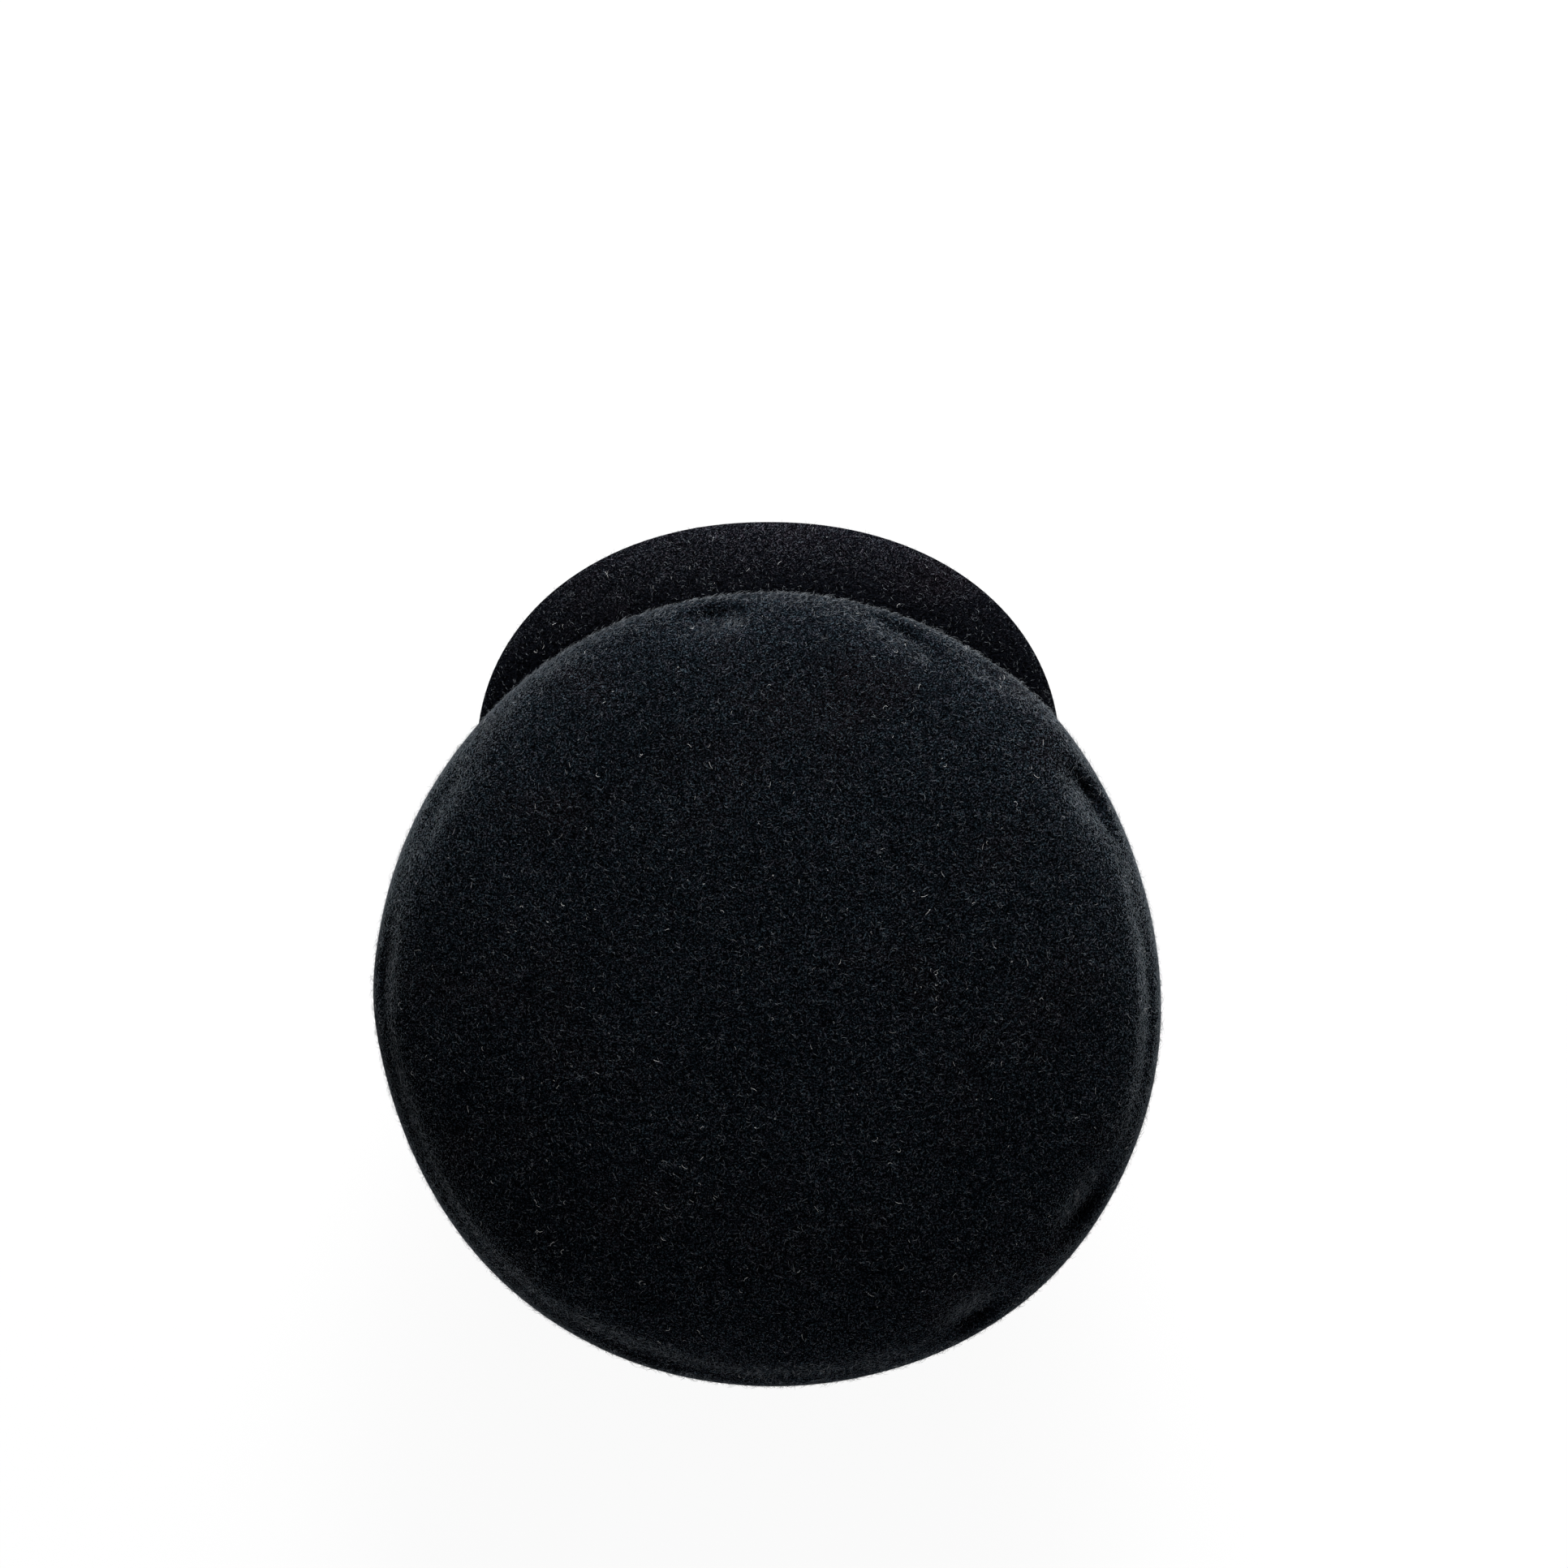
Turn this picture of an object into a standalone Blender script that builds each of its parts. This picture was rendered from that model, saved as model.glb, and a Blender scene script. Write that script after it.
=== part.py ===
"""A soft felt beret with a short stiffened visor, as it lies on a table.

Metres, +Z up. The visor points to -Y. The origin is the centre of the head opening, in the plane
of the band's lower edge. A place round the cap is given by its angle from the front, in radians,
growing towards -X.
"""
from math import atan2, cos, exp, hypot, pi, radians, sin

import bmesh
import bpy
from mathutils import Vector

# Head opening, measured inside the sweatband: a 57 cm head.
OPENING_HALF_LENGTH = 0.0965
OPENING_HALF_WIDTH = 0.0850
SEAM_GAP = 0.0003

# Layers of the band. Each is given by its inner and outer distance from the opening.
SWEATBAND = (0.0, 0.0010)
LINING = (0.0014, 0.0020)
STIFFENER = (0.0023, 0.0033)
BAND_WALL = (0.0036, 0.0058)
BAND_HEM_INNER = SWEATBAND[1] + SEAM_GAP

# Heights on the band, from its lower edge.
BAND_HEIGHT = 0.0310
HEM_HEIGHT = 0.0120
SWEATBAND_SPAN = (0.0022, 0.0300)
STIFFENER_SPAN = (HEM_HEIGHT + 0.0005, 0.0225)
SEAM_TAPE_SPAN = (0.0232, 0.0370)
FOLD_CHAMFER = 0.0007

# Over the brow the band's lower edge rises to meet the visor. The rise fades out up the band.
BROW_RISE = 0.0100
BROW_HALF_ANGLE = radians(76)
BROW_FADE_HEIGHT = 0.0260

# Crown: the rim is its widest line, seen from above.
FELT_THICKNESS = 0.0022
RIM_HALF_WIDTH = 0.1250
RIM_HALF_LENGTH = 0.1264
RIM_HEIGHT = 0.0540
CROWN_HEIGHT = 0.0880
SHOULDER_POWER = 2.3
CROWN_FOOT = BAND_WALL[0] + 0.0013
UNDERSIDE_SLOPE = 0.38
UNDERSIDE_ROWS = 6
TOP_ROWS = 14
TOP_ROW_POWER = 2.2
CROWN_STEPS = 80

# Lining: it hangs clear of the crown, as a side panel and a tip.
LINING_SIDE_FOOT = 0.0210
LINING_FLARE_HEIGHT = 0.0390
LINING_BELLY = (0.0150, 0.0540)
LINING_TIP_EDGE = (0.0120, 0.0640)
LINING_TIP_RISE = 0.0085
LINING_TIP_ROWS = 5

# Visor, in plan: its front edge is a superellipse, and its wings curl back to the band.
VISOR_HALF_WIDTH = 0.0955
VISOR_WIDEST_AT = 0.0750
VISOR_REACH = 0.0761
VISOR_POWER = 2.12
WING_CURL = 0.0120
WING_LENGTH = 0.0400
WING_END = radians(80)
WING_SHARE = 0.28
VISOR_ROOT_HALF_ANGLE = radians(68)
VISOR_ROOT_GAP = 0.0010

# Visor, in height: its middle surface droops from the brow to the lip.
VISOR_ROOT_LIFT = 0.0034
VISOR_TIP_HEIGHT = 0.0062
VISOR_WING_HEIGHT = 0.0036
VISOR_CAMBER = 0.0020
VISOR_FELT = 0.0018
BOARD_THICKNESS = 0.0014
BOARD_ROOM = 0.0024
BOARD_ROOT_SHARE = 0.04
BOARD_LIP_SHARE = 0.92
BOARD_SIDE_SHARE = 0.95
VISOR_STEPS = 40
VISOR_ROWS = 8

# The tab that covers the sweatband's joint at the back of the head.
JOIN_TAB_HALF_WIDTH = 0.0080
JOIN_TAB_SPAN = (0.0045, 0.0275)
JOIN_TAB_THICKNESS = 0.0008

RING_STEPS = 48

# Soft dents that a hand has left in the crown's shoulder: angle from the front in degrees, then
# distance in from the rim, depth, half-length along the rim and half-width across it, in
# millimetres, and how far the dent is turned out of line with the rim, in degrees.
DENTS = (
    (-8.3, 7.2, 4.8, 9, 3.8, 0),
    (-8.0, 9.0, 1.6, 20, 8.0, 0),
    (20.5, 5.8, 3.6, 12, 2.9, 10),
    (24.0, 8.0, 1.4, 24, 7.0, 8),
    (36.5, 3.8, 2.2, 10, 2.8, -4),
    (59.0, 6.8, 4.4, 11, 3.9, -6),
    (60.0, 9.5, 1.6, 22, 8.0, -8),
    (123.0, 7.4, 4.2, 11, 3.9, 4),
    (124.0, 9.5, 1.4, 22, 8.0, 4),
    (147.0, 7.2, 4.8, 10, 3.9, 0),
    (146.0, 9.0, 1.4, 20, 8.0, 0),
    (-160.0, 6.5, 1.8, 22, 3.4, 0),
    (-60.5, 6.0, 1.8, 15, 3.6, 0),
    (-87.0, 5.0, 2.0, 12, 3.0, 0),
)

# How far the rim swells out of its oval: angle from the front in degrees, swell in millimetres,
# half-length in degrees.
RIM_SWELLS = (
    (132, 2.8, 32),
    (72, -1.1, 18),
    (-114, -0.9, 18),
    (-91, 0.8, 8),
    (180, -0.4, 26),
    (-50, -0.6, 24),
    (44, 0.7, 10),
)
SWELL_START_SHARE = 0.72
MILLIMETRE = 0.001

FELT_BLACK = (0.0095, 0.0110, 0.0135)
VISOR_BLACK = (0.0115, 0.0115, 0.0135)
SATIN_BLACK = (0.0120, 0.0120, 0.0130)
RIBBON_BLACK = (0.0090, 0.0090, 0.0100)
BUCKRAM_GREY = (0.3000, 0.2900, 0.2700)
BOARD_GREY = (0.1200, 0.1200, 0.1250)


def clear_scene():
    for obj in list(bpy.data.objects):
        bpy.data.objects.remove(obj)


def new_collection(name):
    made = bpy.data.collections.new(name)
    bpy.context.scene.collection.children.link(made)
    return made


def new_material(name, colour, roughness):
    made = bpy.data.materials.new(name)
    made.use_nodes = True
    shader = made.node_tree.nodes["Principled BSDF"]
    shader.inputs["Base Color"].default_value = (*colour, 1.0)
    shader.inputs["Roughness"].default_value = roughness
    shader.inputs["Metallic"].default_value = 0.0
    return made


def add_piece(name, mesh, collection, material):
    """A named object for a mesh, shaded smooth, with its faces turned outwards."""
    shape = bmesh.new()
    shape.from_mesh(mesh)
    bmesh.ops.recalc_face_normals(shape, faces=shape.faces)
    shape.to_mesh(mesh)
    shape.free()
    mesh.materials.clear()
    mesh.materials.append(material)
    mesh.shade_smooth()
    mesh.set_sharp_from_angle(angle=radians(40))
    obj = bpy.data.objects.new(name, mesh)
    collection.objects.link(obj)
    return obj


def add_wall(obj, thickness, offset):
    """Gives an open surface its thickness. Offset -1 grows the wall inwards, and 1 outwards."""
    wall = obj.modifiers.new("wall", "SOLIDIFY")
    wall.thickness = thickness
    wall.offset = offset
    wall.use_even_offset = True


def turned_mesh(name, row_count, place, steps=RING_STEPS, from_axis=False, closed=False):
    """Sweeps a profile of rows round the Z axis, then puts each point at place(row, angle).

    from_axis starts the profile on the axis, so that the rows close over the middle.
    closed joins the last row to the first, so that the sweep is a solid ring.
    """
    row_step = 0.01
    first_radius = 0.0 if from_axis else row_step
    outline = bpy.data.meshes.new(name)
    points = [(first_radius + row * row_step, 0.0, 0.0) for row in range(row_count)]
    edges = [(row, row + 1) for row in range(row_count - 1)]
    if closed:
        edges.append((row_count - 1, 0))
    outline.from_pydata(points, edges, [])
    guide = bpy.data.objects.new(name + "_guide", outline)
    bpy.context.scene.collection.objects.link(guide)
    sweep = guide.modifiers.new("sweep", "SCREW")
    sweep.steps = sweep.render_steps = steps
    sweep.use_merge_vertices = True
    sweep.merge_threshold = 1e-5
    graph = bpy.context.evaluated_depsgraph_get()
    mesh = bpy.data.meshes.new_from_object(guide.evaluated_get(graph))
    bpy.data.objects.remove(guide)
    for vertex in mesh.vertices:
        radius = hypot(vertex.co.x, vertex.co.y)
        row = round((radius - first_radius) / row_step)
        vertex.co = place(row, atan2(-vertex.co.x, -vertex.co.y))
    mesh.name = name
    return mesh


def oval_point(half_width, half_length, height, angle):
    return Vector((-half_width * sin(angle), -half_length * cos(angle), height))


def head_point(outwards, height, angle):
    """A point at a distance outside the head opening."""
    return oval_point(
        OPENING_HALF_WIDTH + outwards, OPENING_HALF_LENGTH + outwards, height, angle
    )


def brow_rise(height, angle):
    """How far a point of the band at that height is lifted over the brow."""
    share = abs(angle) / BROW_HALF_ANGLE
    if share >= 1:
        return 0.0
    fade = max(0.0, 1 - height / BROW_FADE_HEIGHT)
    return BROW_RISE * (1 - share ** 2) ** 2 * fade


def band_ring(name, profile, collection, material):
    """A closed ring round the head, from a profile of (distance outwards, height) points."""

    def place(row, angle):
        outwards, height = profile[row]
        return head_point(outwards, height + brow_rise(height, angle), angle)

    mesh = turned_mesh(name, len(profile), place, closed=True)
    return add_piece(name, mesh, collection, material)


def strip_profile(layer, span, middle_rows=0):
    """The profile of a flat strip that stands between two heights."""
    inner, outer = layer
    low, high = span
    rows = [low + (high - low) * i / (middle_rows + 1) for i in range(middle_rows + 2)]
    return [(outer, z) for z in reversed(rows)] + [(inner, z) for z in rows]


def outer_band_profile():
    """A felt wall folded under at its foot, with the hem turned up inside."""
    inner, outer = BAND_WALL
    return [
        (outer, BAND_HEIGHT),
        (outer, BROW_FADE_HEIGHT),
        (outer, FOLD_CHAMFER),
        (outer - FOLD_CHAMFER, 0.0),
        (BAND_HEM_INNER + FOLD_CHAMFER, 0.0),
        (BAND_HEM_INNER, FOLD_CHAMFER),
        (BAND_HEM_INNER, HEM_HEIGHT),
        (inner, HEM_HEIGHT),
        (inner, BROW_FADE_HEIGHT),
        (inner, BAND_HEIGHT),
    ]


def turn_between(angle, degrees):
    """The turn from a place given in degrees to an angle, between half a turn either way."""
    return (angle - radians(degrees) + pi) % (2 * pi) - pi


def dent_depth(angle, inset):
    """How far the shoulder is pushed down at an angle, at a distance in from the rim."""
    depth = 0.0
    for degrees, in_from_rim, deep, half_length, half_width, turned in DENTS:
        along = turn_between(angle, degrees) * RIM_HALF_WIDTH / MILLIMETRE
        across = inset / MILLIMETRE - in_from_rim
        slant = radians(turned)
        lengthways = (along * cos(slant) + across * sin(slant)) / half_length
        widthways = (across * cos(slant) - along * sin(slant)) / half_width
        depth += deep * MILLIMETRE * exp(-lengthways ** 2 - widthways ** 2)
    return depth


def rim_swell(angle, width_share):
    """How many times wider the crown is at an angle than its oval, at a share of the half-width."""
    reach = min(1.0, max(0.0, (width_share - SWELL_START_SHARE) / (1 - SWELL_START_SHARE)))
    reach = reach * reach * (3 - 2 * reach)
    swell = 0.0
    for degrees, out, half_turn in RIM_SWELLS:
        turn = turn_between(angle, degrees) / radians(half_turn)
        swell += out * MILLIMETRE * exp(-turn ** 2)
    return 1 + swell * reach / RIM_HALF_WIDTH


def crown_underside(share):
    """Half-width, half-length and height from the band's top, at 0, out to the rim, at 1."""
    spread = sin(share * pi / 2)
    rise = UNDERSIDE_SLOPE * share + (1 - UNDERSIDE_SLOPE) * (1 - cos(share * pi / 2))
    foot_width = OPENING_HALF_WIDTH + CROWN_FOOT
    foot_length = OPENING_HALF_LENGTH + CROWN_FOOT
    foot_height = BAND_HEIGHT + SEAM_GAP
    return (
        foot_width + (RIM_HALF_WIDTH - foot_width) * spread,
        foot_length + (RIM_HALF_LENGTH - foot_length) * spread,
        foot_height + (RIM_HEIGHT - foot_height) * rise,
    )


def crown_top(width_share):
    """Half-width, half-length and height of the top, where it is that share of the rim's width."""
    rise = max(0.0, 1 - width_share ** SHOULDER_POWER) ** (1 / SHOULDER_POWER)
    height = RIM_HEIGHT + (CROWN_HEIGHT - RIM_HEIGHT) * rise
    return RIM_HALF_WIDTH * width_share, RIM_HALF_LENGTH * width_share, height


def build_crown_shell(collection, material):
    """The one-piece felt crown: a domed top, a rolled rim and an underside that meets the band.

    The rows of the top lie closer together towards the rim, where the shoulder turns and is dented.
    """
    rows = [crown_top(1 - (1 - i / TOP_ROWS) ** TOP_ROW_POWER) for i in range(TOP_ROWS + 1)]
    rows += [crown_underside(1 - i / UNDERSIDE_ROWS) for i in range(1, UNDERSIDE_ROWS + 1)]

    def place(row, angle):
        half_width, half_length, height = rows[row]
        if row <= TOP_ROWS:
            height -= dent_depth(angle, RIM_HALF_WIDTH - half_width)
        swell = rim_swell(angle, half_width / RIM_HALF_WIDTH)
        return oval_point(half_width * swell, half_length * swell, height, angle)

    mesh = turned_mesh("crown_shell", len(rows), place, CROWN_STEPS, from_axis=True)
    obj = add_piece("crown_shell", mesh, collection, material)
    add_wall(obj, FELT_THICKNESS, -1)
    return obj


def build_lining_side(collection, material):
    """The satin panel that runs up from behind the sweatband and bellies into the crown."""
    middle = sum(LINING) / 2
    belly, belly_height = LINING_BELLY
    edge, edge_height = LINING_TIP_EDGE
    profile = [
        (middle, LINING_SIDE_FOOT),
        (middle, LINING_FLARE_HEIGHT),
        ((middle + belly) / 2 + 0.002, (LINING_FLARE_HEIGHT + belly_height) / 2 - 0.002),
        (belly, belly_height),
        (edge + SEAM_GAP, edge_height - SEAM_GAP),
    ]

    def place(row, angle):
        outwards, height = profile[row]
        return head_point(outwards, height, angle)

    mesh = turned_mesh("lining_side", len(profile), place)
    obj = add_piece("lining_side", mesh, collection, material)
    add_wall(obj, LINING[1] - LINING[0], 0)
    return obj


def build_lining_tip(collection, material):
    """The satin disc that closes the lining below the crown's top."""
    edge, edge_height = LINING_TIP_EDGE
    lift = SEAM_GAP + (LINING[1] - LINING[0])

    def place(row, angle):
        share = row / LINING_TIP_ROWS
        return oval_point(
            (OPENING_HALF_WIDTH + edge) * share,
            (OPENING_HALF_LENGTH + edge) * share,
            edge_height + lift + LINING_TIP_RISE * (1 - share ** 2),
            angle,
        )

    mesh = turned_mesh("lining_tip", LINING_TIP_ROWS + 1, place, from_axis=True)
    obj = add_piece("lining_tip", mesh, collection, material)
    add_wall(obj, LINING[1] - LINING[0], 1)
    return obj


def grid_mesh(name, steps, rows, place):
    """A grid whose points go to place(across, along), with across from -1 to 1 and along from 0 to 1."""
    bpy.ops.mesh.primitive_grid_add(x_subdivisions=steps, y_subdivisions=rows, size=2)
    helper = bpy.context.object
    mesh = helper.data
    bpy.data.objects.remove(helper)
    for vertex in mesh.vertices:
        vertex.co = place(vertex.co.x, (vertex.co.y + 1) / 2)
    mesh.name = name
    return mesh


def visor_outline(across):
    """The visor's outer edge in plan, as (side, forward) of the head's centre."""
    share = abs(across)
    if share <= 1 - WING_SHARE:
        turn = pi / 2 * (1 - share / (1 - WING_SHARE))
        side = VISOR_HALF_WIDTH * max(0.0, cos(turn)) ** (2 / VISOR_POWER)
        forward = VISOR_WIDEST_AT + VISOR_REACH * sin(turn) ** (2 / VISOR_POWER)
    else:
        turn = WING_END * (share - 1 + WING_SHARE) / WING_SHARE
        side = VISOR_HALF_WIDTH - WING_CURL * (1 - cos(turn))
        forward = VISOR_WIDEST_AT - WING_LENGTH * sin(turn)
    return (side if across >= 0 else -side), forward


def visor_middle(across, along):
    """The visor's middle surface: across from wing to wing, along from the band to the lip."""
    angle = across * VISOR_ROOT_HALF_ANGLE
    root = head_point(BAND_WALL[1] + VISOR_ROOT_GAP, 0.0, angle)
    root.z = VISOR_ROOT_LIFT + brow_rise(0.0, angle)
    side, forward = visor_outline(across)
    lip_height = VISOR_WING_HEIGHT + (VISOR_TIP_HEIGHT - VISOR_WING_HEIGHT) * (1 - across ** 2)
    lip = Vector((-side, -forward, lip_height))
    point = root.lerp(lip, along)
    point.z += VISOR_CAMBER * 4 * along * (1 - along) * (1 - across ** 2)
    return point


def cover_spread(along):
    """Half the gap between the two covers: the board's room, closing to a seam at the lip."""
    room = BOARD_ROOM / 2
    if along <= BOARD_LIP_SHARE:
        return room
    closing = (along - BOARD_LIP_SHARE) / (1 - BOARD_LIP_SHARE)
    return room + (SEAM_GAP / 2 - room) * closing


def build_visor_cover(name, upwards, collection, material):
    """One felt cover of the visor. upwards is 1 for the top cover and -1 for the under one."""

    def place(across, along):
        return visor_middle(across, along) + Vector((0, 0, upwards * cover_spread(along)))

    mesh = grid_mesh(name, VISOR_STEPS, VISOR_ROWS, place)
    obj = add_piece(name, mesh, collection, material)
    faces_up = mesh.polygons[0].normal.z > 0
    add_wall(obj, VISOR_FELT, 1 if faces_up == (upwards > 0) else -1)
    return obj


def build_visor_board(collection, material):
    """The stiff board between the covers."""

    def place(across, along):
        share = BOARD_ROOT_SHARE + (BOARD_LIP_SHARE - BOARD_ROOT_SHARE) * along
        return visor_middle(across * BOARD_SIDE_SHARE, share)

    mesh = grid_mesh("visor_board", VISOR_STEPS, VISOR_ROWS, place)
    obj = add_piece("visor_board", mesh, collection, material)
    add_wall(obj, BOARD_THICKNESS, 0)
    return obj


def build_join_tab(collection, material):
    """The ribbon tab over the sweatband's joint, at the back."""
    low, high = JOIN_TAB_SPAN

    def place(across, along):
        angle = pi + across * JOIN_TAB_HALF_WIDTH / OPENING_HALF_WIDTH
        return head_point(-SEAM_GAP, low + (high - low) * along, angle)

    mesh = grid_mesh("sweatband_join_tab", 4, 2, place)
    obj = add_piece("sweatband_join_tab", mesh, collection, material)
    faces_back = mesh.polygons[0].normal.y > 0
    add_wall(obj, JOIN_TAB_THICKNESS, -1 if faces_back else 1)
    return obj


def main():
    clear_scene()
    beret = new_collection("visor_beret")
    felt = new_material("crown_felt", FELT_BLACK, 0.95)
    visor_felt = new_material("visor_felt", VISOR_BLACK, 0.92)
    satin = new_material("lining_satin", SATIN_BLACK, 0.40)
    ribbon = new_material("sweatband_ribbon", RIBBON_BLACK, 0.65)
    buckram = new_material("band_buckram", BUCKRAM_GREY, 0.85)
    board = new_material("visor_board", BOARD_GREY, 0.60)

    build_crown_shell(beret, felt)
    band_ring("outer_band", outer_band_profile(), beret, felt)
    band_ring("band_stiffener", strip_profile(STIFFENER, STIFFENER_SPAN), beret, buckram)
    band_ring("crown_seam_tape", strip_profile(STIFFENER, SEAM_TAPE_SPAN), beret, ribbon)
    band_ring("sweatband", strip_profile(SWEATBAND, SWEATBAND_SPAN, 2), beret, ribbon)
    build_join_tab(beret, ribbon)
    build_lining_side(beret, satin)
    build_lining_tip(beret, satin)
    build_visor_cover("visor_top_cover", 1, beret, visor_felt)
    build_visor_board(beret, board)
    build_visor_cover("visor_under_cover", -1, beret, visor_felt)


main()
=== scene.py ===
from math import cos, pi, radians, sin

import bmesh
import bpy
import numpy as np
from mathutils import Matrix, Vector, noise


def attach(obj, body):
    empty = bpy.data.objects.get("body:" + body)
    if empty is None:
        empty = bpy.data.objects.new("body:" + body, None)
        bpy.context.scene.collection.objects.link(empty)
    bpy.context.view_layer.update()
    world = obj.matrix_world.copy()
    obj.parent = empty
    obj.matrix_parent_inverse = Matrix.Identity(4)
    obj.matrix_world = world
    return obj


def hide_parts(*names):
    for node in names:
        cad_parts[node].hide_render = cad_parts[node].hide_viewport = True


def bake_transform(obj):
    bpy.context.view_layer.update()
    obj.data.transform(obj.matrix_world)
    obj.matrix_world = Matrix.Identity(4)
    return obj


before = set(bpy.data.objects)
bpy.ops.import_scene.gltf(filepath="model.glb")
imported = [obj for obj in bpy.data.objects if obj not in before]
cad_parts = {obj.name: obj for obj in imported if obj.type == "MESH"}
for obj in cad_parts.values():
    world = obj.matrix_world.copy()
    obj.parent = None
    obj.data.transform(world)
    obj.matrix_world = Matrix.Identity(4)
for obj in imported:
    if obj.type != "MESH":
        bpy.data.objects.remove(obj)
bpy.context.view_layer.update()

# Sizes, in metres. They are those of the CAD model, whose nodes these pieces stand for, apart from
# VISOR_SEWN_GAP.
# The CAD's visor stops short of the band, and here its covers are pressed into the felt.
MM = 0.001
OPENING_HALF_LENGTH = 0.0965
OPENING_HALF_WIDTH = 0.0850
BAND_OUTER = 0.0058
BAND_HEIGHT = 0.0310
BROW_RISE = 0.0100
BROW_HALF_ANGLE = radians(76)
BROW_FADE_HEIGHT = 0.0260
FELT_THICKNESS = 0.0022
RIM_HALF_WIDTH = 0.1250
RIM_HALF_LENGTH = 0.1264
RIM_HEIGHT = 0.0540
CROWN_HEIGHT = 0.0880
SHOULDER_POWER = 2.3
CROWN_FOOT = 0.0049
UNDERSIDE_SLOPE = 0.38
VISOR_HALF_WIDTH = 0.0955
VISOR_WIDEST_AT = 0.0750
VISOR_REACH = 0.0761
VISOR_POWER = 2.12
WING_CURL = 0.0120
WING_LENGTH = 0.0400
WING_END = radians(80)
WING_SHARE = 0.28
VISOR_ROOT_HALF_ANGLE = radians(68)
VISOR_ROOT_GAP = 0.0010
VISOR_SEWN_GAP = -0.0004
VISOR_ROOT_LIFT = 0.0034
VISOR_TIP_HEIGHT = 0.0062
VISOR_WING_HEIGHT = 0.0036
VISOR_CAMBER = 0.0020
VISOR_FELT = 0.0018
BOARD_THICKNESS = 0.0014
BOARD_ROOM = 0.0024
BOARD_ROOT_SHARE = 0.04
BOARD_LIP_SHARE = 0.92
BOARD_SIDE_SHARE = 0.95
SEAM_GAP = 0.0003

# How far the rim swells out of its oval: angle from the front in degrees, towards -X, then the
# swell in millimetres and its half-length in degrees.
RIM_SWELLS = (
    (132, 2.8, 32),
    (72, -1.1, 18),
    (-114, -0.9, 18),
    (-91, 0.8, 8),
    (180, -0.4, 26),
    (-50, -0.6, 24),
    (44, 0.7, 10),
)

# Dents that a hand has left in the shoulder: angle in degrees, distance in from the rim, depth,
# half-length along the rim and half-width across it, in millimetres, and how far the dent is turned
# out of line with the rim, in degrees. The CAD model has them too.
DENTS = (
    (-8.3, 7.2, 4.8, 9, 3.8, 0),
    (-8.0, 9.0, 1.6, 20, 8.0, 0),
    (20.5, 5.8, 3.6, 12, 2.9, 10),
    (24.0, 8.0, 1.4, 24, 7.0, 8),
    (36.5, 3.8, 2.2, 10, 2.8, -4),
    (59.0, 6.8, 4.4, 11, 3.9, -6),
    (60.0, 9.5, 1.6, 22, 8.0, -8),
    (123.0, 7.4, 4.2, 11, 3.9, 4),
    (124.0, 9.5, 1.4, 22, 8.0, 4),
    (147.0, 7.2, 4.8, 10, 3.9, 0),
    (146.0, 9.0, 1.4, 20, 8.0, 0),
    (-160.0, 6.5, 1.8, 22, 3.4, 0),
    (-60.5, 6.0, 1.8, 15, 3.6, 0),
    (-87.0, 5.0, 2.0, 12, 3.0, 0),
)

# Finer forms of the crown's felt, written in the same way: the fuller front shoulder, whose depth is
# negative, four long grooves inside the rim, and five narrow creases in the dents.
FINE_FORMS = (
    (0.0, 17.0, -1.2, 90, 10.0, 0),
    (92.0, 4.8, 2.0, 40, 2.4, 0),
    (-100.0, 4.6, 1.3, 50, 2.4, 0),
    (-145.0, 4.8, 1.1, 45, 2.4, 0),
    (178.0, 4.6, 1.3, 50, 2.4, 0),
    (20.0, 5.2, 0.4, 9, 0.8, 12),
    (59.0, 6.4, 0.4, 10, 0.9, -3),
    (66.0, 4.8, 0.6, 6, 0.9, -18),
    (123.5, 6.8, 0.4, 9, 0.9, 8),
    (147.5, 6.8, 0.35, 9, 0.9, 0),
)

# The crown's mesh. The rows of its top are in millimetres in from the rim, and close where the dents are.
CROWN_STEPS = 192
UNDERSIDE_ROWS = 12
TOP_ROW_INSETS = (
    0, 0.06, 0.25, 0.6, 1.1, 1.8, 2.6, 3.4, 4.2, 5, 5.8, 6.6, 7.4, 8.2, 9, 9.8, 10.6, 11.4, 12.4, 14, 16,
    19, 23, 28, 34, 42, 52, 64, 78, 94, 110, 121,
)
TOP_MARGIN = 0.0005

# The share of the rim's radius at which the swell and the unevenness start, and over which they grow.
SWELL_START = 0.72
SWELL_SPAN = 0.28
UNEVEN_SPAN = 0.10

# Unevenness of felt and lining: the size and the height of the bumps.
CROWN_BUMPS = ((0.070, 2.0 * MM), (0.040, 0.8 * MM), (0.017, 0.22 * MM), (0.006, 0.07 * MM))
BAND_BUMPS = ((0.020, 0.30 * MM), (0.007, 0.10 * MM))
LINING_FOLDS = ((0.011, 1.1 * MM), (0.0045, 0.3 * MM))
LINING_SAGS = ((0.045, 1.6 * MM), (0.016, 0.5 * MM))

# The band's section, in millimetres outwards and up: down its outer face, round the folded foot, up the
# hem and up the inner face.
BAND_PROFILE = (
    (5.8, 31.0), (5.8, 30.2), (5.85, 26), (5.9, 18), (5.9, 10), (5.85, 4), (5.6, 1.5), (5.0, 0.4),
    (4.1, 0.0), (3.0, 0.0), (2.1, 0.4), (1.5, 1.4), (1.3, 4), (1.3, 11.4), (1.5, 12.0), (3.2, 12.0),
    (3.6, 12.4), (3.6, 18), (3.6, 26), (3.6, 30.2), (3.6, 31.0), (4.7, 31.2),
)
BAND_STEPS = 320
OUTER_FACE_FROM = 4.6 * MM

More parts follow.
